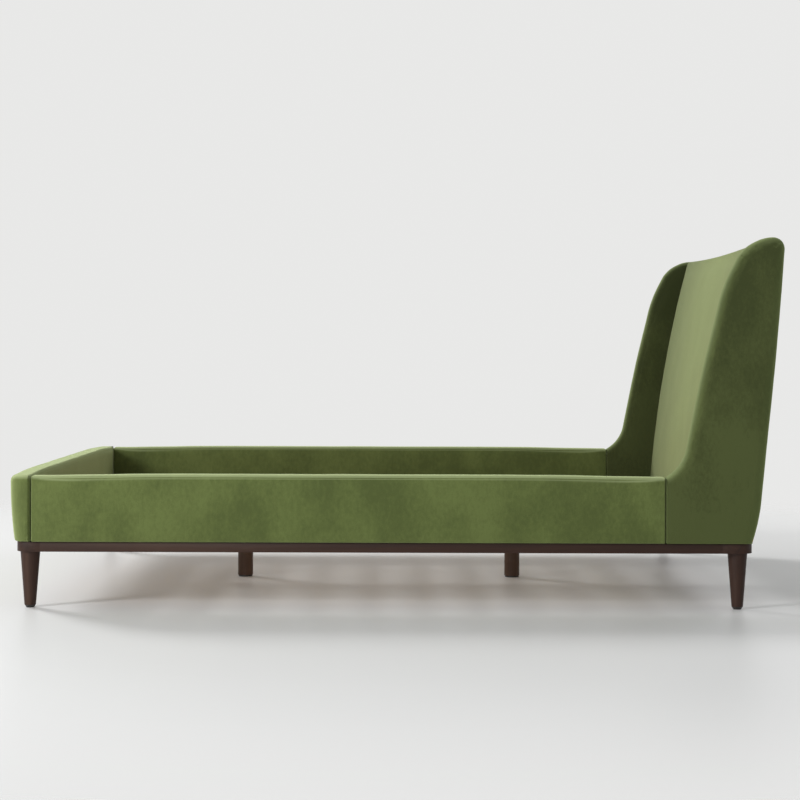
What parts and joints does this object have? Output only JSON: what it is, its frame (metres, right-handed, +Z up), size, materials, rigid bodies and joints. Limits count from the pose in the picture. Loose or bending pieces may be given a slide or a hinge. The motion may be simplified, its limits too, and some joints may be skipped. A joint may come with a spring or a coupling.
{
  "type": "upholstered bed frame",
  "caption": "Low velvet bed frame with a winged, leaning headboard, padded rails and footboard, a dark wood plinth and tapered legs.",
  "frame": {"origin": "on the floor under the middle of the bed", "axes": "+X towards the headboard, +Y towards the bed's left side, +Z up"},
  "size_m": [2.2598, 1.64, 1.09],
  "materials": {
    "velvet": "olive green velvet with a short soft nap",
    "velvet_back": "dark green lining cloth on the headboard's back",
    "foam": "cream upholstery foam",
    "pine": "planed softwood, unfinished",
    "ply": "birch ply, sanded",
    "walnut": "dark walnut stain under satin lacquer",
    "steel": "zinc-plated steel",
    "dark_steel": "black powder-coated steel",
    "plastic": "black moulded plastic",
    "webbing": "woven dark grey webbing"
  },
  "bodies": {
    "frame": {"headboard_post_left": "pine", "headboard_post_right": "pine", "headboard_top_rail": "pine", "headboard_bottom_rail": "pine", "headboard_stile": "pine", "wing_core_left": "pine", "wing_core_right": "pine", "footboard_core": "pine", "side_rail_core_left": "pine", "side_rail_core_right": "pine", "slat_ledger_left": "pine", "slat_ledger_right": "pine", "centre_beam": "pine", "slat_01": "pine", "slat_02": "pine", "slat_03": "pine", "slat_04": "pine", "slat_05": "pine", "slat_06": "pine", "slat_07": "pine", "slat_08": "pine", "slat_09": "pine", "slat_10": "pine", "slat_11": "pine", "slat_12": "pine", "slat_13": "pine", "headboard_ply": "ply", "headboard_pad": "foam", "wing_pad_left": "foam", "wing_pad_right": "foam", "footboard_pad": "foam", "side_rail_pad_left": "foam", "side_rail_pad_right": "foam", "headboard_cover": "velvet", "wing_cover_left": "velvet", "wing_cover_right": "velvet", "footboard_cover": "velvet", "side_rail_cover_left": "velvet", "side_rail_cover_right": "velvet", "headboard_back_cover": "velvet_back", "slat_straps": "webbing", "beam_brackets": "dark_steel", "corner_brackets": "dark_steel", "plinth_foot": "walnut", "plinth_head": "walnut", "plinth_side_left": "walnut", "plinth_side_right": "walnut", "corner_leg_foot_left": "walnut", "corner_leg_foot_right": "walnut", "corner_leg_head_left": "walnut", "corner_leg_head_right": "walnut", "centre_leg_foot_end": "walnut", "centre_leg_head_end": "walnut", "leg_glides": "plastic", "leg_bolts": "steel", "leg_nuts": "steel", "frame_bolts": "steel", "wood_screws": "steel"},
    "foot_end_levelling_foot": {"levelling_foot_foot_end": "plastic"},
    "head_end_levelling_foot": {"levelling_foot_head_end": "plastic"}
  },
  "joints": [
    {"name": "foot_end_foot_height", "type": "slide", "parent": "frame", "child": "foot_end_levelling_foot", "axis": [0, 0, -1], "range_m": [0, 0.012]},
    {"name": "head_end_foot_height", "type": "slide", "parent": "frame", "child": "head_end_levelling_foot", "axis": [0, 0, -1], "range_m": [0, 0.012]}
  ]
}
